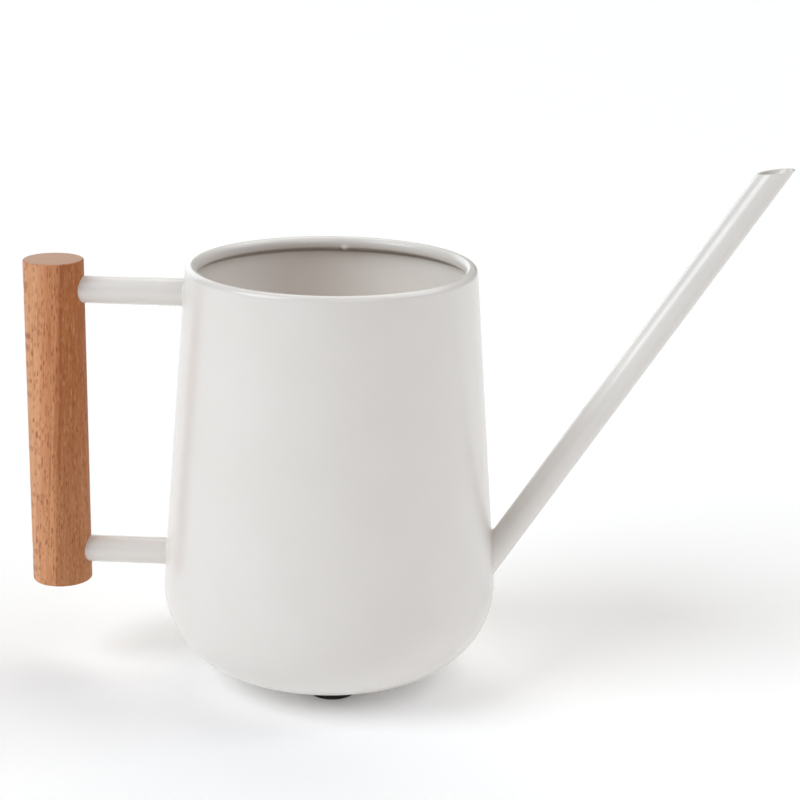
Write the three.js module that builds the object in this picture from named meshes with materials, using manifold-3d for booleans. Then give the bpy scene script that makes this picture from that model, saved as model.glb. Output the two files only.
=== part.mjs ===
// A small watering can: a tapered steel body with a curled mouth and a rounded base, a slender straight
// spout, and a straight beech grip held on two tube arms. Nothing on it moves.
// Millimetres, +Z up, +X towards the spout. The can stands on z = 0, and the origin lies under the middle
// of the whole object's box.

import * as THREE from 'three';
import { mergeVertices } from 'three/addons/utils/BufferGeometryUtils.js';
import Module from 'manifold-3d';

const wasm = await Module();
wasm.setup();

// Clearance between pieces that meet, and how far a cutting bar runs past what it cuts
const gap = 0.3;
const overrun = 20;

// Body, measured from its own upright axis
const sheetThickness = 0.8;
const rimHeight = 156.5;
const mouthRadius = 52.7;
const curlRadius = 2.2;
const curlTurn = THREE.MathUtils.degToRad(270);
const widestRadius = 61.7;
const cornerRadius = 30.2;

// Rubber feet in a circle under the base, the first one this far round from the front
const footHeight = 5.3;
const footRadius = 9;
const footFlankRadius = 8.8;
const footEdgeRadius = 0.7;
const footCircleRadius = 21.6;
const footTurn = THREE.MathUtils.degToRad(9);
const footNames = ['foot_front', 'foot_spout_side', 'foot_back', 'foot_grip_side'];

// Tube stock of the spout and of both arms
const tubeRadius = 5;
const tubeBore = 4.2;

// Spout: where its axis leaves the wall, its slope, its length from there, and its end cut
const spoutRootHeight = 48.4;
const spoutSlope = THREE.MathUtils.degToRad(56.9);
const spoutLength = 174.3;
const tipCutTilt = THREE.MathUtils.degToRad(8.5);

// Arms and grip
const lowerArmHeight = 44.4;
const upperArmHeight = 144.4;
const armInsertion = 14;
const gripAxisX = -101.6;
const gripRadius = 11;
const gripBottom = 32.3;
const gripTop = 155.4;
const gripEdgeRadius = 0.7;

// Weld fillets
const armWeldLeg = 1.5;
const spoutWeldLeg = 1.1;
const weldToe = 0.25;

// Grip screws, and the tapped plugs in the arms that they hold in
const screwRadius = 2;
const screwLength = 16;
const screwHeadRadius = 3.8;
const screwHeadHeight = 2.4;
const screwHeadSink = 1.1;
const screwPointLength = 1;
const screwShoulder = { radius: 0.85 * screwHeadRadius, rise: 0.8 * screwHeadHeight };
const screwCrownRadius = 0.55 * screwHeadRadius;
const plugLength = 12;

// Facets round a full turn
const bodyFacets = 72;
const gripFacets = 48;
const tubeFacets = 32;
const screwFacets = 24;

// Steps along an arc
const curlSteps = 12;
const curlInsideSteps = 9;
const cornerSteps = 9;
const gripEdgeSteps = 3;
const footEdgeSteps = 4;

// Worked out from the sizes above
const cornerCentre = new THREE.Vector2(widestRadius - cornerRadius, footHeight + cornerRadius);
const curlCentre = new THREE.Vector2(mouthRadius - curlRadius, rimHeight - curlRadius);
const joinHeight = cornerCentre.y;
const wallLean = leanOfWall();
const spoutDirection = new THREE.Vector3(Math.cos(spoutSlope), 0, Math.sin(spoutSlope));
const spoutRoot = new THREE.Vector3(wallRadiusAt(spoutRootHeight), 0, spoutRootHeight);
const spoutTip = spoutRoot.clone().addScaledVector(spoutDirection, spoutLength);
const armEndX = gripAxisX + gripRadius - armInsertion;
const screwHeadX = gripAxisX - gripRadius + screwHeadSink;

// The wall's outer line touches the corner's arc and the curl's circle. Its lean is its angle from upright.
function leanOfWall() {
  const across = curlCentre.clone().sub(cornerCentre);
  return across.angle() - Math.acos((cornerRadius - curlRadius) / across.length());
}

// A point at an angle on a circle, as [radius, height]
function onCircle(centre, radius, angle) {
  return [centre.x + radius * Math.cos(angle), centre.y + radius * Math.sin(angle)];
}

// Points along an arc between two angles, both ends included
function arc(centre, radius, from, to, steps) {
  const points = [];
  for (let i = 0; i <= steps; i += 1) {
    points.push(onCircle(centre, radius, from + ((to - from) * i) / steps));
  }
  return points;
}

// Outer radius of the straight part of the wall at a height
function wallRadiusAt(height) {
  const [radius, start] = onCircle(cornerCentre, cornerRadius, wallLean);
  return radius - (height - start) * Math.tan(wallLean);
}

// A solid of revolution about +Z from [radius, height] points
function turned(points, facets) {
  const profile = points.map(([radius, height]) => new THREE.Vector2(radius, height));
  return new THREE.LatheGeometry(profile, facets).rotateX(Math.PI / 2);
}

// A round bar from one point to another
function bar(radius, from, to, facets = tubeFacets) {
  const along = to.clone().sub(from);
  const upright = new THREE.Vector3(0, 1, 0);
  const turn = new THREE.Quaternion().setFromUnitVectors(upright, along.clone().normalize());
  const geometry = new THREE.CylinderGeometry(radius, radius, along.length(), facets);
  geometry.translate(0, along.length() / 2, 0).applyQuaternion(turn);
  return geometry.translate(from.x, from.y, from.z);
}

// A closed three.js geometry as a solid that can be cut and joined
function solid(geometry) {
  const bare = geometry.clone();
  bare.deleteAttribute('normal');
  bare.deleteAttribute('uv');
  const welded = mergeVertices(bare);
  const corners = welded.index.array;
  const triangles = [];
  for (let i = 0; i < corners.length; i += 3) {
    const [a, b, c] = corners.slice(i, i + 3);
    if (a !== b && b !== c && c !== a) {
      triangles.push(a, b, c);
    }
  }
  return new wasm.Manifold(new wasm.Mesh({
    numProp: 3,
    vertProperties: new Float32Array(welded.attributes.position.array),
    triVerts: new Uint32Array(triangles),
  }));
}

// A cut or joined solid as a three.js geometry again
function geometryOf(shape) {
  const mesh = shape.getMesh();
  const geometry = new THREE.BufferGeometry();
  geometry.setAttribute('position', new THREE.BufferAttribute(mesh.vertProperties, 3));
  geometry.setIndex(new THREE.BufferAttribute(mesh.triVerts, 1));
  geometry.computeVertexNormals();
  return geometry;
}

// The cone that the wall lies on, grown outward, as a solid from the foot tops up to the mouth
function bodyEnvelope(growth) {
  const low = footHeight;
  const high = rimHeight;
  const profile = [
    [0, low],
    [wallRadiusAt(low) + growth, low],
    [wallRadiusAt(high) + growth, high],
    [0, high],
  ];
  return solid(turned(profile, bodyFacets));
}

// Body: the rolled wall, with its mouth curled inward and down, and the hole that feeds the spout
function makeWall() {
  const inner = curlRadius - sheetThickness;
  const inside = cornerRadius - sheetThickness;
  const curlEnd = wallLean + curlTurn;
  const profile = [
    onCircle(cornerCentre, cornerRadius, 0),
    onCircle(cornerCentre, cornerRadius, wallLean),
    ...arc(curlCentre, curlRadius, wallLean, curlEnd, curlSteps),
    ...arc(curlCentre, inner, curlEnd, wallLean, curlInsideSteps),
    onCircle(cornerCentre, inside, wallLean),
    onCircle(cornerCentre, inside, 0),
    onCircle(cornerCentre, cornerRadius, 0),
  ].map(([radius, height]) => [radius, Math.max(height, joinHeight + gap / 2)]);
  const inward = spoutRoot.clone().addScaledVector(spoutDirection, -overrun);
  const hole = bar(tubeBore, inward, spoutTip);
  return geometryOf(solid(turned(profile, bodyFacets)).subtract(solid(hole)));
}

// Body: the pressed base, flat underneath, rounding up to meet the wall at the widest point
function makeBase() {
  const flange = joinHeight - gap / 2;
  const inside = cornerRadius - sheetThickness;
  const profile = [
    [0, footHeight],
    ...arc(cornerCentre, cornerRadius, -Math.PI / 2, 0, cornerSteps),
    ...arc(cornerCentre, inside, 0, -Math.PI / 2, cornerSteps),
    [0, footHeight + sheetThickness],
  ].map(([radius, height]) => [radius, Math.min(height, flange)]);
  return turned(profile, bodyFacets);
}

// Spout: a tube whose foot is coped to the wall and whose end is cut nearly level
function makeSpout() {
  const inward = spoutRoot.clone().addScaledVector(spoutDirection, -overrun);
  const beyond = spoutTip.clone().addScaledVector(spoutDirection, overrun);
  const tube = solid(bar(tubeRadius, inward, beyond)).subtract(solid(bar(tubeBore, inward, beyond)));
  const size = 3 * overrun;
  const cut = new THREE.BoxGeometry(size, size, size).translate(0, 0, size / 2);
  cut.rotateY(-tipCutTilt).translate(spoutTip.x, spoutTip.y, spoutTip.z);
  return geometryOf(tube.subtract(bodyEnvelope(gap)).subtract(solid(cut)));
}

// A fillet of weld round the spout's foot
function makeSpoutWeld() {
  const from = new THREE.Vector3(0, 0, spoutRootHeight - spoutRoot.x * Math.tan(spoutSlope));
  const collar = solid(bar(tubeRadius + spoutWeldLeg, from, spoutTip));
  const band = collar.intersect(bodyEnvelope(gap + spoutWeldLeg)).subtract(bodyEnvelope(gap));
  return geometryOf(band.subtract(solid(bar(tubeRadius + gap, from, spoutTip))));
}

// One arm: a tube from inside the grip to the wall, coped to it
function makeArm(height) {
  const end = new THREE.Vector3(armEndX, 0, height);
  const boreEnd = end.clone().setX(armEndX - overrun);
  const axis = new THREE.Vector3(0, 0, height);
  const tube = solid(bar(tubeRadius, end, axis)).subtract(solid(bar(tubeBore, boreEnd, axis)));
  return geometryOf(tube.subtract(bodyEnvelope(gap)));
}

// A fillet of weld round an arm's foot
function makeArmWeld(height) {
  const wall = wallRadiusAt(height);
  const bore = tubeRadius + gap;
  const profile = [
    [bore, wall - armWeldLeg],
    [bore + armWeldLeg, wall - armWeldLeg],
    [bore + armWeldLeg, wall + gap],
    [bore + weldToe, wall + gap + armWeldLeg],
    [bore, wall + gap + armWeldLeg],
    [bore, wall - armWeldLeg],
  ];
  const ring = turned(profile, tubeFacets).rotateY(-Math.PI / 2).translate(0, 0, height);
  return geometryOf(solid(ring).subtract(bodyEnvelope(gap)));
}

// Grip: a dowel with eased ends, bored for the arms on its inner side and for the screws on its outer side
function makeGrip() {
  const edge = gripEdgeRadius;
  const low = new THREE.Vector2(gripRadius - edge, gripBottom + edge);
  const high = new THREE.Vector2(gripRadius - edge, gripTop - edge);
  const profile = [
    [0, gripBottom],
    ...arc(low, edge, -Math.PI / 2, 0, gripEdgeSteps),
    ...arc(high, edge, 0, Math.PI / 2, gripEdgeSteps),
    [0, gripTop],
  ];
  let dowel = solid(turned(profile, gripFacets).translate(gripAxisX, 0, 0));
  const outside = gripAxisX - overrun;
  const headSeat = screwHeadX + screwHeadHeight + gap;
  for (const height of [lowerArmHeight, upperArmHeight]) {
    const at = (x) => new THREE.Vector3(x, 0, height);
    dowel = dowel.subtract(solid(bar(tubeRadius + gap, at(armEndX - gap), at(0))));
    dowel = dowel.subtract(solid(bar(screwRadius + gap, at(outside), at(armEndX))));
    dowel = dowel.subtract(solid(bar(screwHeadRadius + 2 * gap, at(outside), at(headSeat))));
  }
  return geometryOf(dowel);
}

// A tapped plug, fixed inside the end of an arm
function makePlug() {
  const outer = tubeBore - gap;
  const inner = screwRadius + gap;
  return turned([[inner, 0], [outer, 0], [outer, plugLength], [inner, plugLength], [inner, 0]], screwFacets);
}

// A grip screw with a domed head, pointing down its own -Z from under the head
function makeScrew() {
  const profile = [
    [0, -screwLength],
    [screwRadius - screwPointLength / 2, -screwLength],
    [screwRadius, -screwLength + screwPointLength],
    [screwRadius, 0],
    [screwHeadRadius, 0],
    [screwHeadRadius, screwHeadHeight / 2],
    [screwShoulder.radius, screwShoulder.rise],
    [screwCrownRadius, screwHeadHeight],
    [0, screwHeadHeight],
  ];
  return turned(profile, screwFacets);
}

// A rubber foot, from the surface that the can stands on to just under the base
function makeFoot() {
  const edge = new THREE.Vector2(footFlankRadius - footEdgeRadius, footEdgeRadius);
  const profile = [
    [0, 0],
    ...arc(edge, footEdgeRadius, -Math.PI / 2, 0, footEdgeSteps),
    [footRadius, footHeight - gap],
    [0, footHeight - gap],
  ];
  return turned(profile, tubeFacets);
}

const finishes = {
  coatedSteel: { color: '#dcd9d4', roughness: 0.4, metalness: 0 },
  beech: { color: '#c88f66', roughness: 0.6, metalness: 0 },
  rubber: { color: '#161616', roughness: 0.8, metalness: 0 },
  platedSteel: { color: '#b8babc', roughness: 0.35, metalness: 1 },
};

function piece(name, geometry, finish) {
  const mesh = new THREE.Mesh(geometry, new THREE.MeshStandardMaterial(finishes[finish]));
  mesh.name = name;
  return mesh;
}

function makeBody() {
  const body = new THREE.Group();
  body.add(piece('body_wall', makeWall(), 'coatedSteel'));
  body.add(piece('base_pan', makeBase(), 'coatedSteel'));
  footNames.forEach((name, i) => {
    const angle = -Math.PI / 2 + footTurn + (i * Math.PI * 2) / footNames.length;
    const foot = piece(name, makeFoot(), 'rubber');
    foot.position.set(footCircleRadius * Math.cos(angle), footCircleRadius * Math.sin(angle), 0);
    body.add(foot);
  });
  return body;
}

function makeSpoutGroup() {
  const spout = new THREE.Group();
  spout.add(piece('spout_tube', makeSpout(), 'coatedSteel'));
  spout.add(piece('spout_weld', makeSpoutWeld(), 'coatedSteel'));
  return spout;
}

function makeHandle() {
  const handle = new THREE.Group();
  handle.add(piece('grip', makeGrip(), 'beech'));
  const levels = { lower: lowerArmHeight, upper: upperArmHeight };
  for (const [level, height] of Object.entries(levels)) {
    handle.add(piece(`${level}_arm`, makeArm(height), 'coatedSteel'));
    handle.add(piece(`${level}_arm_weld`, makeArmWeld(height), 'coatedSteel'));
    const plug = piece(`${level}_arm_plug`, makePlug(), 'platedSteel');
    plug.position.set(armEndX, 0, height);
    plug.rotation.y = Math.PI / 2;
    const screw = piece(`${level}_grip_screw`, makeScrew(), 'platedSteel');
    screw.position.set(screwHeadX + screwHeadHeight, 0, height);
    screw.rotation.y = -Math.PI / 2;
    handle.add(plug, screw);
  }
  return handle;
}

const can = new THREE.Group();
can.add(makeBody(), makeSpoutGroup(), makeHandle());

// Bring the middle of the whole object's length over the origin
const extent = new THREE.Box3().setFromObject(can, true);
can.position.x = -(extent.min.x + extent.max.x) / 2;

export default can;
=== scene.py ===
from math import acos, atan2, cos, exp, hypot, pi, radians, sin, sqrt, tan

import bmesh
import bpy
from mathutils import Matrix, Vector


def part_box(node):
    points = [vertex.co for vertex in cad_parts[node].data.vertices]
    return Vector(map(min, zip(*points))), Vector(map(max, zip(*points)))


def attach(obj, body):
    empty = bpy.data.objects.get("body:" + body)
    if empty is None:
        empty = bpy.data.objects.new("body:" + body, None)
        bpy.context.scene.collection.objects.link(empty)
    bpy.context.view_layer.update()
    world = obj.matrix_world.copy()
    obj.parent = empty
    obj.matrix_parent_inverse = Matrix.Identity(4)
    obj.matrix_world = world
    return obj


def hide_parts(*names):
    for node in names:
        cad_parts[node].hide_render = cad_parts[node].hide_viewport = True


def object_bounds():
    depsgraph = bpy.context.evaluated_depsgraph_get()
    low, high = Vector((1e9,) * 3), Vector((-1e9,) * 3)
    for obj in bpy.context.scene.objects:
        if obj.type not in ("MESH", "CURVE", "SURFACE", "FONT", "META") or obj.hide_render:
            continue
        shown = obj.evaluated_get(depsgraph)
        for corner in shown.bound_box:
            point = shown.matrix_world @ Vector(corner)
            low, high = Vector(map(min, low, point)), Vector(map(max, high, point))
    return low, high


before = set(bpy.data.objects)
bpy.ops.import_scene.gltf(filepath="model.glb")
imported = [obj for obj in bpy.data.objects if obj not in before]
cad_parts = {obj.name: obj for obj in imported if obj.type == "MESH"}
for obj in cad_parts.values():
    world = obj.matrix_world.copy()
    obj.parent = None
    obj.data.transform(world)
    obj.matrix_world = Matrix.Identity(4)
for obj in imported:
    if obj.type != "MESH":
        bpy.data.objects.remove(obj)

# Small watering can: coated steel body, curled mouth, straight spout, beech grip on two tube arms.
# Metres, +X towards the spout's tip. Sizes in the dictionaries are in millimetres, unless a note says not.

mm = 0.001
hair = 0.001 * mm      # how near counts as touching, when points are picked by where they are
cadLow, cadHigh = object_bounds()
scene = bpy.context.scene
scene.view_settings.view_transform = "Standard"


# camera and light

camera = {
    "lens": 91.5,
    "sensor": 36,
    "nearest": 20,         # nothing nearer than this is drawn
    "turn": 3.73,          # degrees towards the spout from square on
    "lift": 16.01,         # degrees above level
    "tilt": 0.964,         # degrees, the whole view leans this much
    "distance": 743.2,
    "aimAside": 0.37,      # where it looks, from the middle of the can's box
    "aimUp": 8.9,
}


def towards(turn, lift):
    # from the can towards a place this far round from square on, and this far up
    return Vector((sin(turn) * cos(lift), -cos(turn) * cos(lift), sin(lift)))


def setCamera():
    turn, lift, tilt = (radians(camera[key]) for key in ("turn", "lift", "tilt"))
    back = towards(turn, lift)
    right = Vector((cos(turn), sin(turn), 0))
    up = back.cross(right)
    leaningRight = right * cos(tilt) + up * sin(tilt)
    leaningUp = up * cos(tilt) - right * sin(tilt)
    aim = (cadLow + cadHigh) / 2 + Vector((camera["aimAside"], 0, camera["aimUp"])) * mm
    data = bpy.data.cameras.new("productCamera")
    data.lens = camera["lens"]
    data.sensor_width = camera["sensor"]
    data.clip_start = camera["nearest"] * mm
    eye = bpy.data.objects.new("productCamera", data)
    scene.collection.objects.link(eye)
    turned = Matrix((leaningRight, leaningUp, back)).transposed().to_4x4()
    eye.matrix_world = Matrix.Translation(aim + back * camera["distance"] * mm) @ turned
    scene.camera = eye


studio = {
    "panelSpread": 40,      # degrees that a soft panel fills, seen from the can
    # name: degrees round from the camera's side, degrees up, strength, colour
    "panels": {
        "leftPanel": (-60, 38, 1.82, (0.955, 1.0, 1.04)),
        "frontPanel": (30, 38, 0.40, (1.09, 0.98, 0.98)),
        "rightPanel": (90, 38, 0.70, (0.93, 1.0, 1.08)),
        "highRightPanel": (120, 55, 0.57, (1.03, 1.01, 0.94)),
        "highBackPanel": (180, 55, 0.685, (1.055, 1.0, 0.945)),
        "lowBackPanel": (210, 10, 0.58, (0.965, 1.01, 1.02)),
    },
}


def setStudio():
    room = bpy.data.worlds.new("darkRoom")
    room.use_nodes = True
    room.node_tree.nodes["Background"].inputs["Strength"].default_value = 0
    scene.world = room
    for name, (turn, lift, strength, colour) in studio["panels"].items():
        data = bpy.data.lights.new(name, "SUN")
        data.angle = radians(studio["panelSpread"])
        data.energy = strength
        data.color = colour
        panel = bpy.data.objects.new(name, data)
        scene.collection.objects.link(panel)
        back = towards(radians(turn), radians(lift))
        panel.location = back
        panel.rotation_mode = "QUATERNION"
        panel.rotation_quaternion = (-back).to_track_quat("-Z", "Y")


# finishes

def newFinish(name):
    finish = bpy.data.materials.new(name)
    finish.use_nodes = True
    shader = finish.node_tree.nodes["Principled BSDF"]
    return finish, shader


def addNode(finish, kind, links=None, **settings):
    # links is {input name or number: a fixed value, or the output that feeds it}
    tree = finish.node_tree
    node = tree.nodes.new(kind)
    for key, value in settings.items():
        setattr(node, key, value)
    for key, value in (links or {}).items():
        if isinstance(value, bpy.types.NodeSocket):
            tree.links.new(value, node.inputs[key])
        else:
            node.inputs[key].default_value = value
    return node


def vectorMaths(finish, operation, first, second):
    return addNode(finish, "ShaderNodeVectorMath", {0: first, 1: second}, operation=operation).outputs[0]


def perMillimetre(finish, middle=(0, 0, 0)):
    # the piece's own coordinates, counted in millimetres from a point in metres
    spot = addNode(finish, "ShaderNodeTexCoord").outputs["Object"]
    moved = vectorMaths(finish, "SUBTRACT", spot, middle)
    return vectorMaths(finish, "MULTIPLY", moved, (1 / mm, 1 / mm, 1 / mm))


def maths(finish, operation, first, second=0):
    return addNode(finish, "ShaderNodeMath", {0: first, 1: second}, operation=operation).outputs[0]


def times(finish, first, second):
    return maths(finish, "MULTIPLY", first, second)


def plus(finish, first, second):
    return maths(finish, "ADD", first, second)


def minus(finish, first, second):
    return maths(finish, "SUBTRACT", first, second)


def joined(finish, x, y, z=0):
    return addNode(finish, "ShaderNodeCombineXYZ", {0: x, 1: y, 2: z}).outputs[0]


def split(finish, vector):
    return addNode(finish, "ShaderNodeSeparateXYZ", {0: vector}).outputs


def noise(finish, vector, scale, detail=2.0, roughness=0.5):
    links = {"Vector": vector, "Scale": scale, "Detail": detail, "Roughness": roughness}
    return addNode(finish, "ShaderNodeTexNoise", links).outputs["Fac"]


def ranged(finish, value, low, high, toLow, toHigh, smooth=True):
    links = {"Value": value, "From Min": low, "From Max": high, "To Min": toLow, "To Max": toHigh}
    kind = "SMOOTHSTEP" if smooth else "LINEAR"
    return addNode(finish, "ShaderNodeMapRange", links, interpolation_type=kind).outputs[0]


def blended(finish, share, first, second):
    node = addNode(finish, "ShaderNodeMix", {0: share}, data_type="RGBA")
    for number, value in ((6, first), (7, second)):
        if isinstance(value, bpy.types.NodeSocket):
            finish.node_tree.links.new(value, node.inputs[number])
        else:
            node.inputs[number].default_value = (*value, 1)
    return node.outputs[2]


def bumped(finish, height, depth):
    return addNode(finish, "ShaderNodeBump", {"Height": height, "Distance": depth * mm}).outputs[0]


def feed(finish, shader, **links):
    names = {"colour": "Base Color", "roughness": "Roughness", "normal": "Normal"}
    for key, value in links.items():
        finish.node_tree.links.new(value, shader.inputs[names[key]])


mostNoise = (0.3, 0.7)      # nearly all of a noise lies between these

coat = {
    "colour": (0.86, 0.832, 0.797),
    "shade": (0.842, 0.814, 0.776),      # the slightly greyer patches
    # painted light: the inside is a lighter, warmer copy of the coat, standing in for light bouncing round
    # inside the can
    "paintedLightInsideColour": (0.95, 0.908, 0.862),
    "paintedLightInsideShade": (0.94, 0.896, 0.847),
    "paintedShade": (0.34, 0.28, 0.235),       # painted shade: a dark band on the wall under the curl, where the curl shades it
    "paintedShadeDepth": (1.3, 2.1, 0.8),      # fades between these, below the curl, and how strong
    "paintedShadeRise": (0.0, 0.9, 0.15),      # fades again up the curl between these, to this share
    "patch": 26.0,                       # width of a patch
    "peel": 1.1,                         # width of an orange peel dimple
    "peelDepth": 0.003,
    "grain": 0.14,
    "speck": (0.62, 0.8, 0.05),          # the grain's darkest points, and how strong
    "speckColour": (0.62, 0.6, 0.57),
    "roughness": (0.19, 0.25),
}


def mixStoneCoat(name, colour, shade, paintedShadeTop=None):
    finish, shader = newFinish(name)
    spot = perMillimetre(finish)
    patches = noise(finish, spot, 1 / coat["patch"], 3)
    grain = noise(finish, spot, 1 / coat["grain"], 1)
    peel = noise(finish, spot, 1 / coat["peel"], 1.5)
    tone = blended(finish, ranged(finish, patches, *mostNoise, 0, 1), colour, shade)
    # painted shade: a dark band on the wall just under the curl, fading again up the curl
    if paintedShadeTop is not None:
        height = split(finish, spot)[2]
        start, end, share = coat["paintedShadeDepth"]
        paintedShade = ranged(finish, height, paintedShadeTop / mm - end, paintedShadeTop / mm - start, 0, share)
        start, end, left = coat["paintedShadeRise"]
        above = ranged(finish, height, paintedShadeTop / mm + start, paintedShadeTop / mm + end, 1, left)
        tone = blended(finish, times(finish, paintedShade, above), tone, coat["paintedShade"])
    start, end, share = coat["speck"]
    speck = ranged(finish, grain, start, end, 0, share)
    feed(
        finish, shader,
        colour=blended(finish, speck, tone, coat["speckColour"]),
        roughness=ranged(finish, grain, *mostNoise, *coat["roughness"]),
        normal=bumped(finish, peel, coat["peelDepth"]),
    )
    return finish


beech = {
    # colour by place across the grip, following the grain: the wood's own bands, with painted light on the
    # pale side and painted shade on the brown side
    "grainBandsAndShade": (
        (-9.0, (0.76, 0.39, 0.205)),
        (-4.6, (0.79, 0.39, 0.20)),
        (-3.6, (0.71, 0.31, 0.146)),
        (1.2, (0.69, 0.30, 0.132)),
        (3.4, (0.485, 0.174, 0.056)),
        (9.0, (0.465, 0.164, 0.05)),
    ),
    "halfWidth": 11.0,                   # the bands go this far either way
    "streak": (0.33, 0.085, 0.024),
    "light": (0.78, 0.44, 0.24),
    "endGrain": (0.55, 0.365, 0.272),
    "endLines": (0.69, 0.30, 0.132),
    "endYears": (0.485, 0.174, 0.056),
    "endTurn": (0.75, 0.97),             # end grain takes over as a face turns upright between these
    "lean": 0.043,                       # the grain's slope against the grip
    "alongGrain": 0.04,                  # how slowly the grain changes up the grip
    "wander": 0.35,                      # bends in the grain per millimetre
    "bandWander": 3.0,                   # how far they push the bands
    "yearWander": 1.5,                   # how far they push the years
    "darkStreak": (2.8, 0.9, 0.65),      # place across the grip, half its width, strength
    "darkFoot": (-30, 12, 0.3),          # the dark streak fades down between these heights, to this share
    "paintedLightFoot": (25, -45, 0.3),          # painted light: paler from this height down to that one, and how much
    "lines": (1.1, 3, 0.65),             # lines per millimetre, detail, roughness
    "redLines": (0.5, 0.75, 0, 0.5),
    "lightLines": (0.22, 0.48, 0.4, 0),
    "rayTurn": 30,                       # degrees the rays turn from square on
    "rays": (1.25, 0.27),                # rays per millimetre, round the grip and up it
    "rayShift": 37,                      # sets each kind of ray apart from the last
    "rayEdge": (-0.2, 0.02),             # softness of a ray's edge
    # sets of rays: how rare, half the width, strength, colour
    "flecks": (
        (0.8, 0.48, 0.62, (0.25, 0.07, 0.022)),
        (0.35, 0.48, 0.42, (0.31, 0.085, 0.025)),
        (0.25, 0.48, 0.36, (0.31, 0.085, 0.025)),
        (0.3, 0.46, 0.26, (0.80, 0.44, 0.24)),
    ),
    "years": 0.42,                       # years per millimetre
    "yearShade": (0.18, 0.2),            # strength on the side and on the ends
    "fibre": (4, 4, 8),                  # how much finer the fibres are than the grain
    "fibreTone": (0.4, 0.75, 0, 0.25),
    "fibreDepth": 0.02,
    "pores": 4.0,                        # per millimetre, on the ends
    "poreTone": (0.45, 0.7, 0, 0.3),
    "roughness": (0.2, 0.8, 0.55, 0.68),
    "gloss": 0.3,
}


def mixOiledBeech(gripX, gripMiddle):
    finish, shader = newFinish("oiledBeech")
    spot = perMillimetre(finish, (gripX, 0, gripMiddle))
    straight, depth, height = split(finish, spot)
    across = minus(finish, straight, times(finish, height, beech["lean"]))
    grain = joined(finish, across, depth, times(finish, height, beech["alongGrain"]))
    wander = minus(finish, noise(finish, grain, beech["wander"], 2), 0.5)
    drift = plus(finish, across, times(finish, wander, beech["bandWander"]))

    # pale on one side, browner beyond: partly the wood's own bands, partly painted light on the side the main
    # light falls on and painted shade on the far side
    side = beech["halfWidth"]
    ramp = addNode(finish, "ShaderNodeValToRGB", {0: ranged(finish, drift, -side, side, 0, 1, False)})
    stops = ramp.color_ramp.elements
    stops.remove(stops[1])
    stops[0].color = (*beech["grainBandsAndShade"][0][1], 1)
    for along, colour in beech["grainBandsAndShade"]:
        stops.new((along + side) / (2 * side)).color = (*colour, 1)
    # painted light: the grip is paler towards its foot, where more light falls
    start, end, share = beech["paintedLightFoot"]
    tone = blended(finish, ranged(finish, height, start, end, 0, share), ramp.outputs[0], beech["light"])

    # the rays run this way, and the years lie square to them
    turn = radians(beech["rayTurn"])
    aroundIt = plus(finish, times(finish, across, cos(turn)), times(finish, depth, sin(turn)))
    outward = plus(finish, times(finish, across, sin(turn)), times(finish, depth, -cos(turn)))
    year = plus(finish, times(finish, outward, beech["years"]), times(finish, wander, beech["yearWander"]))
    ringShade = ranged(finish, maths(finish, "FRACT", year), 0.1, 1, 0, 1)
    sideYears, endYears = beech["yearShade"]
    tone = blended(finish, times(finish, ringShade, sideYears), tone, beech["streak"])

    # lighter and redder lines up the grain
    lines = noise(finish, grain, *beech["lines"])
    tone = blended(finish, ranged(finish, lines, *beech["redLines"]), tone, beech["streak"])
    tone = blended(finish, ranged(finish, lines, *beech["lightLines"]), tone, beech["light"])

    # one strong dark streak up the front
    middle, halfWidth, strength = beech["darkStreak"]
    aside = maths(finish, "ABSOLUTE", minus(finish, drift, middle))
    line = ranged(finish, aside, 0, halfWidth, strength, 0)
    start, end, left = beech["darkFoot"]
    fade = ranged(finish, height, start, end, left, 1)
    tone = blended(finish, times(finish, line, fade), tone, beech["streak"])

    # rays: short dashes on the front, wide soft flakes on the side they run along
    raysRound, raysUp = beech["rays"]
    for number, (rare, width, strength, colour) in enumerate(beech["flecks"]):
        shifted = plus(finish, times(finish, aroundIt, raysRound), beech["rayShift"] * number)
        rayGrid = joined(finish, shifted, times(finish, height, raysUp))
        links = {"Vector": rayGrid, "Scale": 1.0}
        cells = addNode(finish, "ShaderNodeTexVoronoi", links, voronoi_dimensions="2D").outputs
        luck = addNode(finish, "ShaderNodeSeparateColor", {0: cells["Color"]}).outputs[0]
        size = ranged(finish, luck, rare, 1, 0, width, False)
        fleck = ranged(finish, minus(finish, cells["Distance"], size), *beech["rayEdge"], strength, 0)
        tone = blended(finish, fleck, tone, colour)

    fibre = noise(finish, vectorMaths(finish, "MULTIPLY", grain, beech["fibre"]), 1.0)
    tone = blended(finish, ranged(finish, fibre, *beech["fibreTone"]), tone, beech["streak"])

    # paler end grain
    normal = addNode(finish, "ShaderNodeNewGeometry").outputs["Normal"]
    upright = maths(finish, "ABSOLUTE", split(finish, normal)[2])
    pores = noise(finish, spot, beech["pores"], 1)
    ends = blended(finish, ranged(finish, pores, *beech["poreTone"]), beech["endGrain"], beech["endLines"])
    ends = blended(finish, times(finish, ringShade, endYears), ends, beech["endYears"])
    tone = blended(finish, ranged(finish, upright, *beech["endTurn"], 0, 1), tone, ends)
    feed(
        finish, shader,
        colour=tone,
        roughness=ranged(finish, fibre, *beech["roughness"]),
        normal=bumped(finish, fibre, beech["fibreDepth"]),
    )
    shader.inputs["Specular IOR Level"].default_value = beech["gloss"]
    return finish


rubber = {
    "colour": (0.008, 0.008, 0.008),
    "dust": (0.016, 0.015, 0.014),
    "dustPatch": 0.4,                    # patches per millimetre
    "dustTone": (0.35, 0.75),
    "grain": 5.0,                        # per millimetre
    "depth": 0.01,
    "roughness": (0.5, 0.64),
}


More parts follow.
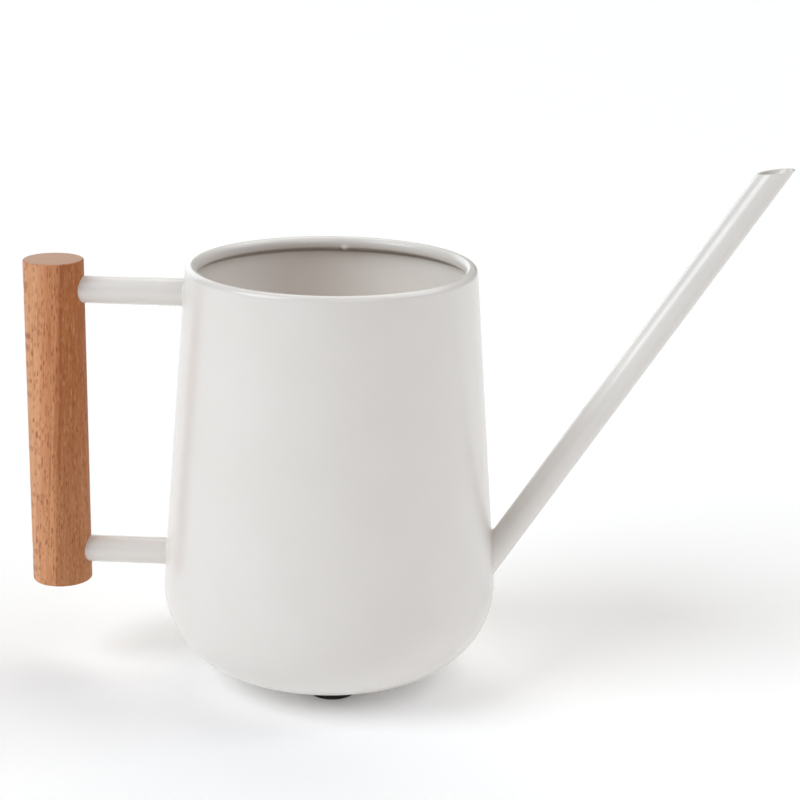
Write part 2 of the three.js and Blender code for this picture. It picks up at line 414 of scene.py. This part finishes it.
def mixBlackRubber():
    finish, shader = newFinish("blackRubber")
    spot = perMillimetre(finish)
    grain = noise(finish, spot, rubber["grain"])
    dust = noise(finish, spot, rubber["dustPatch"], 3)
    dusty = ranged(finish, dust, *rubber["dustTone"], 0, 1)
    feed(
        finish, shader,
        colour=blended(finish, dusty, rubber["colour"], rubber["dust"]),
        roughness=ranged(finish, grain, *mostNoise, *rubber["roughness"]),
        normal=bumped(finish, grain, rubber["depth"]),
    )
    return finish


plating = {
    "colour": (0.62, 0.63, 0.64),
    "cloud": (0.5, 0.51, 0.53),
    "cloudPatch": 0.7,                   # patches per millimetre
    "cloudTone": (0.35, 0.65),
    "grain": 9.0,                        # per millimetre
    "depth": 0.004,
    "roughness": (0.24, 0.4),
}


def mixPlatedSteel():
    finish, shader = newFinish("platedSteel")
    spot = perMillimetre(finish)
    cloud = noise(finish, spot, plating["cloudPatch"], 3)
    grain = noise(finish, spot, plating["grain"])
    cloudy = ranged(finish, cloud, *plating["cloudTone"], 0, 1)
    feed(
        finish, shader,
        colour=blended(finish, cloudy, plating["colour"], plating["cloud"]),
        roughness=ranged(finish, grain, *mostNoise, *plating["roughness"]),
        normal=bumped(finish, grain, plating["depth"]),
    )
    shader.inputs["Metallic"].default_value = 1.0
    return finish


paper = {
    "size": 9.0,                         # metres
    "colour": (0.95, 0.95, 0.95),
    "shade": (0.93575, 0.93575, 0.93575),
    "pulp": 60.0,                        # per metre
    "depth": 0.02,
    "roughness": 0.9,
    "gloss": 0.1,
    "glow": 0.133,                       # a light table, lit a little from below
}


def mixPaper():
    finish, shader = newFinish("floorPaper")
    spot = addNode(finish, "ShaderNodeTexCoord").outputs["Object"]
    pulp = noise(finish, spot, paper["pulp"], 3)
    feed(
        finish, shader,
        colour=blended(finish, pulp, paper["colour"], paper["shade"]),
        normal=bumped(finish, pulp, paper["depth"]),
    )
    shader.inputs["Roughness"].default_value = paper["roughness"]
    shader.inputs["Specular IOR Level"].default_value = paper["gloss"]
    shader.inputs["Emission Color"].default_value = (1, 1, 1, 1)
    shader.inputs["Emission Strength"].default_value = paper["glow"]
    return finish


# mesh tools

def newPiece(name, points, faces):
    mesh = bpy.data.meshes.new(name)
    mesh.from_pydata(points, [], faces)
    piece = bpy.data.objects.new(name, mesh)
    scene.collection.objects.link(piece)
    return piece


def skin(name, rings, looped=False):
    # rings of equal length are joined in order, and a ring of one point closes an end
    points = []
    starts = []
    for ring in rings:
        starts.append(len(points))
        points.extend(ring)
    faces = []
    order = list(range(len(rings))) + ([0] if looped else [])
    for this, following in zip(order, order[1:]):
        count = max(len(rings[this]), len(rings[following]))
        for i in range(count):
            j = (i + 1) % count
            if len(rings[this]) == 1:
                corners = (starts[this], starts[following] + j, starts[following] + i)
            elif len(rings[following]) == 1:
                corners = (starts[this] + i, starts[this] + j, starts[following])
            else:
                corners = (starts[this] + i, starts[this] + j, starts[following] + j, starts[following] + i)
            faces.append(corners)
    return newPiece(name, points, faces)


def finishEdges(piece, crease=32):
    # outward faces, smooth, with a hard line wherever the surface turns more than the crease angle
    work = bmesh.new()
    work.from_mesh(piece.data)
    bmesh.ops.recalc_face_normals(work, faces=work.faces)
    for face in work.faces:
        face.smooth = True
    for edge in work.edges:
        edge.smooth = not (edge.is_manifold and edge.calc_face_angle(0) > radians(crease))
    work.to_mesh(piece.data)
    work.free()


def carve(piece, cutters):
    for cutter in cutters:
        finishEdges(cutter)
        cut = piece.modifiers.new("cut", "BOOLEAN")
        cut.operation = "DIFFERENCE"
        cut.solver = "EXACT"
        cut.object = cutter
    finishEdges(piece)
    bpy.context.view_layer.update()
    depsgraph = bpy.context.evaluated_depsgraph_get()
    carved = bpy.data.meshes.new_from_object(piece.evaluated_get(depsgraph))
    piece.modifiers.clear()
    piece.data = carved
    piece.data.name = piece.name
    for cutter in cutters:
        bpy.data.objects.remove(cutter)


def arc(centre, radius, start, end, steps):
    # [across, up] points, angles in radians
    turns = [start + (end - start) * i / steps for i in range(steps + 1)]
    return [(centre[0] + radius * cos(turn), centre[1] + radius * sin(turn)) for turn in turns]


def evenTurns(count):
    return [2 * pi * i / count for i in range(count)]


onAxis = 1e-9      # metres


def spin(name, profile, turns, toPlace, looped=True):
    # toPlace turns (radius, turn, height) into a point; a profile point on the axis becomes a tip
    rings = []
    for radius, height in profile:
        if radius < onAxis:
            rings.append([toPlace(0, 0, height)])
        else:
            rings.append([toPlace(radius, turn, height) for turn in turns])
    return skin(name, rings, looped)


def standFor(piece, finish, slot, *nodes):
    piece.data.materials.clear()
    piece.data.materials.append(finish)
    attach(piece, "root")
    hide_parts(*nodes)
    print(f"{piece.name}: {len(piece.data.polygons)} faces")


# the body's line: a tapered wall that meets a rounded base, worked out in radius and height

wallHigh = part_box("body_wall")[1]
panLow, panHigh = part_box("base_pan")
canX = (panLow.x + panHigh.x) / 2

bodyLine = {
    "sheet": 0.8,
    "mouth": 52.7,            # radius outside the curl
    "curl": 2.2,              # radius of the rolled bead
    "curlDroop": 0.45,        # how much lower its underside hangs than a round one
    "droopFade": 0.35,        # share of the curl's radius in which the droop sets in
    "droopReach": 1.01,       # and how many of its radii below its centre the droop takes in
    "curlTurn": 270,          # degrees that it rolls
    "insideTop": 0.7,         # the inside coat, a painted light copy of the coat, goes this share of the curl's radius up the curl
    "corner": 30.2,           # radius of the rounded base
    "rows": (60, 100, 140),   # heights of the extra rows of points up the wall
    "floorRows": (24, 12),    # radii of those on the flat of the base
    "columns": 288,
    "curlSteps": (54, 36),    # outside and inside of the sheet
    "cornerSteps": (72, 60),
    "shoulderSteps": 8,       # on the wall's own short share of the rounded corner
}

sheet = bodyLine["sheet"] * mm
curlRadius = bodyLine["curl"] * mm
cornerRadius = bodyLine["corner"] * mm
widest = (panHigh.x - panLow.x) / 2
cornerCentre = (widest - cornerRadius, panLow.z + cornerRadius)      # wall and base meet at its height
curlCentre = (bodyLine["mouth"] * mm - curlRadius, wallHigh.z - curlRadius)
slant = (curlCentre[0] - cornerCentre[0], curlCentre[1] - cornerCentre[1])
lean = atan2(slant[1], slant[0]) - acos((cornerRadius - curlRadius) / hypot(*slant))


def wallAt(height):
    radius = cornerCentre[0] + cornerRadius * cos(lean)
    return radius - (height - cornerCentre[1] - cornerRadius * sin(lean)) * tan(lean)


def roundCan(radius, turn, height):
    return Vector((canX + radius * cos(turn), radius * sin(turn), height))


def reachWall(start, direction):
    # how far from start a straight line meets the wall's outer face, the nearer way round
    slope = tan(lean)
    x, y = start.x - canX, start.y
    radius = wallAt(start.z)
    a = direction.x ** 2 + direction.y ** 2 - (slope * direction.z) ** 2
    b = 2 * (x * direction.x + y * direction.y + radius * slope * direction.z)
    c = x * x + y * y - radius * radius
    root = sqrt(max(b * b - 4 * a * c, 0))
    return min(((-b - root) / (2 * a), (-b + root) / (2 * a)), key=abs)


# tubes

tubing = {
    "bore": 4.2,          # radius inside
    "columns": 96,
    "lip": 0.22,          # easing of the cut ends
    "holeInward": 20,     # the hole in the wall is cut from here inside it
    "holeOutward": 12,    # to here outside it
}


def straightLine(node):
    # the axis of a tube node: the line halfway along its nearest and farthest sides
    points = [vertex.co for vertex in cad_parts[node].data.vertices]
    edge = max(point.y for point in points)
    side = [point for point in points if point.y > edge - hair]
    first = min(side, key=lambda point: (point.x, point.z))
    last = max(side, key=lambda point: (point.x, point.z))
    first, last = (Vector((point.x, 0, point.z)) for point in (first, last))
    return first, (last - first).normalized(), edge


def tubeFrame(direction):
    aside = Vector((0, 1, 0))
    return aside, direction.cross(aside).normalized()


def tubePoint(root, direction, turn, radius, distance):
    aside, above = tubeFrame(direction)
    return root + (above * cos(turn) + aside * sin(turn)) * radius + direction * distance


def drawTube(name, root, direction, radius, endAt):
    # endAt(point) says how far along the direction the tube goes on from a point beside the root
    bore = tubing["bore"] * mm
    lip = tubing["lip"] * mm
    turns = evenTurns(tubing["columns"])

    def ring(size, back):
        made = []
        for turn in turns:
            beside = tubePoint(root, direction, turn, size, 0)
            if back is None:
                made.append(beside + direction * reachWall(beside, direction))
            else:
                made.append(beside + direction * (endAt(beside) - back))
        return made

    eased = [(lip * (1 - cos(step)), lip * (1 - sin(step))) for step in (0, pi / 6, pi / 3, pi / 2)]
    rings = [ring(radius, None)]
    rings += [ring(radius - inward, back) for inward, back in eased]
    rings += [ring(bore + inward, back) for inward, back in reversed(eased)]
    rings.append(ring(bore, None))
    return skin(name, rings, looped=True)


fillet = {
    "radius": 0.9,
    "least": 0.7,               # shortest leg, where the corner is wide
    "steps": 8,
    "ripple": 0.03,             # how much the bead's width wavers
    "finerRipple": (2.7, 0.6),  # a second ripple, this many times finer and this share as strong
    "sunk": 0.03,               # the bead's back goes this far into the tube and the wall
}


def drawFillet(name, root, direction, radius, weld):
    # a concave bead in the corner between a tube and the wall, wider where the corner is sharper
    rings = []
    for turn in evenTurns(weld["columns"]):
        beside = tubePoint(root, direction, turn, radius, 0)
        corner = beside + direction * reachWall(beside, direction)
        outward = (beside - root).normalized()
        around = atan2(corner.y, corner.x - canX)
        wallNormal = Vector((cos(around) * cos(lean), sin(around) * cos(lean), sin(lean)))
        onWall = (outward - wallNormal * outward.dot(wallNormal)).normalized()
        opening = direction.angle(onWall)
        leg = max(fillet["radius"] / tan(opening / 2), fillet["least"]) * mm
        finer, weaker = fillet["finerRipple"]
        wave = sin(weld["ripples"] * turn) + weaker * sin(finer * weld["ripples"] * turn)
        leg *= 1 + fillet["ripple"] * wave
        onTube = corner + direction * leg
        away = corner + onWall * leg
        away = roundCan(wallAt(away.z), atan2(away.y, away.x - canX), away.z)
        ring = []
        for i in range(fillet["steps"] + 1):
            t = i / fillet["steps"]
            ring.append(onTube * (1 - t) ** 2 + corner * 2 * t * (1 - t) + away * t ** 2)
        sunk = fillet["sunk"] * mm
        ring.append(away - wallNormal * sunk)
        ring.append(corner - wallNormal * sunk - outward * sunk)
        ring.append(onTube - outward * sunk)
        rings.append(ring)
    return skin(name, rings, looped=True)


# making the can

setCamera()
setStudio()
print("camera and light set")

stoneCoat = mixStoneCoat("stonePowderCoat", coat["colour"], coat["shade"])
underCurl = curlCentre[1] - curlRadius
# painted light and shade: a lighter, warmer copy of the coat for the inside, darkened under the curl
insidePaintedLightAndShade = mixStoneCoat("insidePaintedLightAndShadeCoat", coat["paintedLightInsideColour"], coat["paintedLightInsideShade"], underCurl)
gripLow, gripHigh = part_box("grip")
gripX = (gripLow.x + gripHigh.x) / 2
gripRadius = (gripHigh.x - gripLow.x) / 2
oiledBeech = mixOiledBeech(gripX, (gripLow.z + gripHigh.z) / 2)
blackRubber = mixBlackRubber()
platedSteel = mixPlatedSteel()
levels = ("lower", "upper")
print("finishes mixed")

spoutStart, spoutDirection, tubeRadius = straightLine("spout_tube")
toWall = reachWall(spoutStart, spoutDirection)
spoutRoot = spoutStart + spoutDirection * toWall


def paintLightAndShadeInside(piece):
    # the faces that look at the middle of the can get the inside coat, up to the curl: painted light, a
    # lighter and warmer copy of the coat, with painted shade under the curl
    piece.data.materials.append(insidePaintedLightAndShade)
    middle = Vector((canX, 0, cornerCentre[1] * 2))
    for face in piece.data.polygons:
        inward = face.normal.dot(face.center - middle) < 0
        if inward and face.center.z < underCurl + curlRadius * bodyLine["insideTop"]:
            face.material_index = 1


# wall: rolled sheet with a curled mouth, open at the bottom where the base goes on

backWeld = {
    "turn": 89.7,          # degrees round the can from its spout
    "width": 1.265,        # half of it, along the curl
    "rise": 1.05,
    "curlAt": 226,         # degrees round the curl
    "spread": 19,          # half the degrees of the curl that it covers
    "columnTurn": 0.15,    # extra columns of points this many degrees apart
    "columns": 14,         # either side of it
}


def makeWall():
    curlEnd = lean + radians(bodyLine["curlTurn"])
    inner = curlRadius - sheet
    outsideSteps, insideSteps = bodyLine["curlSteps"]
    profile = arc(cornerCentre, cornerRadius, 0, lean, bodyLine["shoulderSteps"])
    rows = [row * mm for row in bodyLine["rows"]]
    profile += [(wallAt(height), height) for height in rows]
    profile += arc(curlCentre, curlRadius, lean, curlEnd, outsideSteps)
    profile += arc(curlCentre, inner, curlEnd, lean, insideSteps)
    drop = sheet / cos(lean)
    profile += [(wallAt(height) - drop, height) for height in reversed(rows)]
    profile += arc(cornerCentre, cornerRadius - sheet, lean, 0, bodyLine["shoulderSteps"])
    turns = evenTurns(bodyLine["columns"])
    close = range(-backWeld["columns"], backWeld["columns"] + 1)
    turns += [radians(backWeld["turn"] + step * backWeld["columnTurn"]) for step in close]
    wall = spin("canWall", profile, sorted(set(turns)), roundCan)

    # the weld bead where the sheet's two edges meet under the curl
    for vertex in wall.data.vertices:
        point = vertex.co
        radius = hypot(point.x - canX, point.y)
        fromCurl = hypot(radius - curlCentre[0], point.z - curlCentre[1])
        if fromCurl < curlRadius - sheet / 2 or fromCurl > curlRadius + hair:
            continue
        about = atan2(point.z - curlCentre[1], radius - curlCentre[0]) % (2 * pi)
        along = (atan2(point.y, point.x - canX) - radians(backWeld["turn"])) * radius
        share = exp(-(along / (backWeld["width"] * mm)) ** 2)
        share *= exp(-((about - radians(backWeld["curlAt"])) / radians(backWeld["spread"])) ** 2)
        lift = share * backWeld["rise"] * mm
        toAxis = Vector((canX - point.x, -point.y, 0)).normalized()
        vertex.co = point + toAxis * lift * -cos(about) + Vector((0, 0, lift * sin(about)))

    # the rolled mouth hangs a little lower than a true circle
    fade = curlRadius * bodyLine["droopFade"]
    for vertex in wall.data.vertices:
        point = vertex.co
        radius = hypot(point.x - canX, point.y)
        below = curlCentre[1] - point.z
        inward = min(1, (curlCentre[0] + fade - radius) / fade)
        if inward > 0 and 0 < below <= curlRadius * bodyLine["droopReach"]:
            point.z -= below / curlRadius * inward * bodyLine["curlDroop"] * mm

    bore = tubing["bore"] * mm
    reaches = (-tubing["holeInward"] * mm, tubing["holeOutward"] * mm)
    around = evenTurns(tubing["columns"])
    hole = [[tubePoint(spoutRoot, spoutDirection, turn, bore, reach) for turn in around] for reach in reaches]
    tips = [[spoutRoot + spoutDirection * reach] for reach in reaches]
    carve(wall, [skin("spoutHole", [tips[0], *hole, tips[1]])])
    finishEdges(wall)
    standFor(wall, stoneCoat, "stone_coated_steel", "body_wall")
    paintLightAndShadeInside(wall)


# base: pressed pan, flat underneath

def makeBase():
    outsideSteps, insideSteps = bodyLine["cornerSteps"]
    rows = [row * mm for row in bodyLine["floorRows"]]
    profile = [(radius, panLow.z) for radius in (0, *reversed(rows))]
    profile += arc(cornerCentre, cornerRadius, -pi / 2, 0, outsideSteps)
    profile += arc(cornerCentre, cornerRadius - sheet, 0, -pi / 2, insideSteps)
    floor = panLow.z + sheet
    profile += [(radius, floor) for radius in (*rows, 0)]
    pan = spin("basePan", profile, evenTurns(bodyLine["columns"]), roundCan, looped=False)
    finishEdges(pan)
    standFor(pan, stoneCoat, "stone_coated_steel", "base_pan")
    paintLightAndShadeInside(pan)


# spout: one straight tube, its end cut nearly level

spout = {"cutTilt": 8.5}      # degrees from level
spoutWeld = {"columns": 120, "ripples": 9}


def makeSpout():
    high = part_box("spout_tube")[1]
    tilt = radians(spout["cutTilt"])
    cutNormal = Vector((-sin(tilt), 0, cos(tilt)))
    # the cut's plane goes through the highest corner of the tube's box
    corner = Vector((high.x, 0, high.z))

    def endAt(point):
        return (corner - point).dot(cutNormal) / spoutDirection.dot(cutNormal)

    pipe = drawTube("spoutPipe", spoutRoot, spoutDirection, tubeRadius, endAt)
    finishEdges(pipe)
    standFor(pipe, stoneCoat, "stone_coated_steel", "spout_tube")
    bead = drawFillet("spoutFillet", spoutRoot, spoutDirection, tubeRadius, spoutWeld)
    finishEdges(bead)
    standFor(bead, stoneCoat, "stone_coated_steel", "spout_weld")


# arms: the same tube, welded to the wall and let into the grip

armWeld = {"columns": 96, "ripples": 8}


def makeArm(level):
    node = f"{level}_arm"
    low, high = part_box(node)
    height = (low.z + high.z) / 2
    direction = Vector((-1, 0, 0))
    root = Vector((canX - wallAt(height), 0, height))
    radius = (high.z - low.z) / 2
    tube = drawTube(f"{level}ArmTube", root, direction, radius, lambda point: point.x - low.x)
    finishEdges(tube)
    standFor(tube, stoneCoat, "stone_coated_steel", node)
    bead = drawFillet(f"{level}ArmFillet", root, direction, radius, armWeld)
    finishEdges(bead)
    standFor(bead, stoneCoat, "stone_coated_steel", f"{level}_arm_weld")


# grip: beech dowel, bored for the arms and for the screws' heads

grip = {
    "ease": 0.7,          # rounding of its ends
    "easeSteps": 7,
    "rows": 12,
    "columns": 160,
    "crease": 28,         # degrees
    "armFit": 0.06,       # clearance round an arm
    "screwFit": 0.3,
    "headFit": 0.45,
    "boreColumns": 64,
    "boreOverlap": 1,     # each bore runs this far into the next
    "boreOverrun": 2,     # and this far out of the grip
}


def boringBar(name, height, radius, start, end):
    def ring(x, size):
        return [Vector((x, size * cos(turn), height + size * sin(turn))) for turn in around]

    around = evenTurns(grip["boreColumns"])
    rings = [[Vector((start, 0, height))], ring(start, radius), ring(end, radius), [Vector((end, 0, height))]]
    return skin(name, rings)


def makeGrip():
    ease = grip["ease"] * mm
    flank = gripRadius - ease
    profile = [(0, gripLow.z), (gripRadius / 2, gripLow.z)]
    profile += arc((flank, gripLow.z + ease), ease, -pi / 2, 0, grip["easeSteps"])
    rise = (gripHigh.z - gripLow.z) / grip["rows"]
    profile += [(gripRadius, gripLow.z + rise * row) for row in range(1, grip["rows"])]
    profile += arc((flank, gripHigh.z - ease), ease, 0, pi / 2, grip["easeSteps"])
    profile += [(gripRadius / 2, gripHigh.z), (0, gripHigh.z)]

    def aroundGrip(radius, turn, height):
        return Vector((gripX + radius * cos(turn), radius * sin(turn), height))

    dowel = spin("gripDowel", profile, evenTurns(grip["columns"]), aroundGrip, looped=False)
    overlap = grip["boreOverlap"] * mm
    overrun = grip["boreOverrun"] * mm
    cutters = []
    for level in levels:
        armLow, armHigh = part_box(f"{level}_arm")
        screwLow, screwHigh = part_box(f"{level}_grip_screw")
        height = (armLow.z + armHigh.z) / 2
        armRadius = (armHigh.z - armLow.z) / 2 + grip["armFit"] * mm
        headRadius = (screwHigh.z - screwLow.z) / 2
        headSeat = screwLow.x + screw["headHeight"] * mm
        shank = screw["shank"] * mm + grip["screwFit"] * mm
        armEnd = armLow.x - grip["screwFit"] * mm
        headBore = headRadius + grip["headFit"] * mm
        cutters.append(boringBar("armBore", height, armRadius, armEnd, gripHigh.x + overrun))
        cutters.append(boringBar("shankBore", height, shank, headSeat - overlap, armEnd + overlap))
        cutters.append(boringBar("headBore", height, headBore, gripLow.x - overrun, headSeat))
    carve(dowel, cutters)
    finishEdges(dowel, grip["crease"])
    standFor(dowel, oiledBeech, "beech", "grip")


# grip screws: pan heads with a cross recess

screw = {
    "shank": 2.0,
    "headHeight": 2.4,
    "crown": 0.55,                # share of the head's height that is domed
    "ease": 0.15,                 # easing of its edges
    "point": 1.0,
    "domeSteps": 10,
    "columns": 64,
    "turn": 180 / 7,              # degrees that it happened to stop at
    "recess": 2.3,                # half the cross's length
    "slot": 0.55,                 # half the cross's width
    "slotTaper": 0.25,
    "crossCuts": ((-1.0, 1.25), (1.3, 0.55)),    # depth below the crown, and share of its length there
}


def makeScrew(level):
    node = f"{level}_grip_screw"
    low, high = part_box(node)
    height = (low.z + high.z) / 2
    head = (high.z - low.z) / 2
    length = high.x - low.x
    top = screw["headHeight"] * mm
    shank = screw["shank"] * mm
    point = screw["point"] * mm
    ease = screw["ease"] * mm
    crown = top * screw["crown"]
    quarter = [pi / 2 * step / screw["domeSteps"] for step in range(screw["domeSteps"] + 1)]
    # radius and distance from the head's crown
    profile = [(head * sin(step), crown * (1 - cos(step))) for step in quarter]
    profile += [(head, top - ease), (head - ease, top), (shank + ease, top)]
    profile += [(shank, top + ease), (shank, length - point), (shank - point / 2, length), (0, length)]

    def aroundScrew(radius, turn, distance):
        return Vector((low.x + distance, radius * cos(turn), height + radius * sin(turn)))

    made = spin(f"{level}GripScrew", profile, evenTurns(screw["columns"]), aroundScrew, looped=False)
    cutters = []
    for turn in (radians(screw["turn"]), radians(screw["turn"] + 90)):
        along = Vector((0, cos(turn), sin(turn)))
        over = Vector((0, -sin(turn), cos(turn)))
        rings = []
        for depth, share in screw["crossCuts"]:
            middle = Vector((low.x + depth * mm, 0, height))
            reach = along * screw["recess"] * share * mm
            half = over * screw["slot"] * mm * (1 - screw["slotTaper"] * (1 - share))
            corners = (reach + half, half - reach, -reach - half, reach - half)
            rings.append([middle + corner for corner in corners])
        tips = [[sum(ring, Vector()) / 4] for ring in rings]
        cutters.append(skin("crossSlot", [tips[0], *rings, tips[1]]))
    carve(made, cutters)
    finishEdges(made)
    standFor(made, platedSteel, "plated_steel", node)


# rubber feet

foot = {
    "edge": 0.7,           # rounding of its lower edge
    "edgeSteps": 8,
    "flank": 8.8,          # radius just above that edge
    "tuck": 0.1,           # its upper edge turns in this much
    "shoulder": 0.35,      # within this much of its top
    "columns": 96,
}


def makeFoot(name, node):
    low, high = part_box(node)
    middle = (low + high) / 2
    top = panLow.z
    edge = foot["edge"] * mm
    flank = foot["flank"] * mm
    shoulder = (high.x - low.x) / 2
    ease = foot["shoulder"] * mm
    tuck = foot["tuck"] * mm
    profile = [(0, 0), (flank / 2, 0)]
    profile += arc((flank - edge, edge), edge, -pi / 2, 0, foot["edgeSteps"])
    profile += [(shoulder, top - ease), (shoulder - tuck, top - tuck), (shoulder - ease, top)]
    profile += [(shoulder / 2, top), (0, top)]

    def aroundFoot(radius, turn, height):
        return Vector((middle.x + radius * cos(turn), middle.y + radius * sin(turn), height))

    made = spin(name, profile, evenTurns(foot["columns"]), aroundFoot, looped=False)
    finishEdges(made)
    standFor(made, blackRubber, "black_rubber", node)


makeWall()
makeBase()
print("body made")
makeSpout()
for level in levels:
    makeArm(level)
print("spout and arms made")
makeGrip()
for level in levels:
    makeScrew(level)
print("grip made")
for side in ("front", "spout_side", "back", "grip_side"):
    words = side.split("_")
    makeFoot("foot" + "".join(word.capitalize() for word in words), f"foot_{side}")
print("feet made")

for level in levels:
    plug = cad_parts[f"{level}_arm_plug"]
    plug.data.materials.clear()
    plug.data.materials.append(platedSteel)

reach = paper["size"] / 2
corners = [(-reach, -reach, 0), (reach, -reach, 0), (reach, reach, 0), (-reach, reach, 0)]
floor = newPiece("paperFloor", corners, [(0, 1, 2, 3)])
floor.data.materials.append(mixPaper())
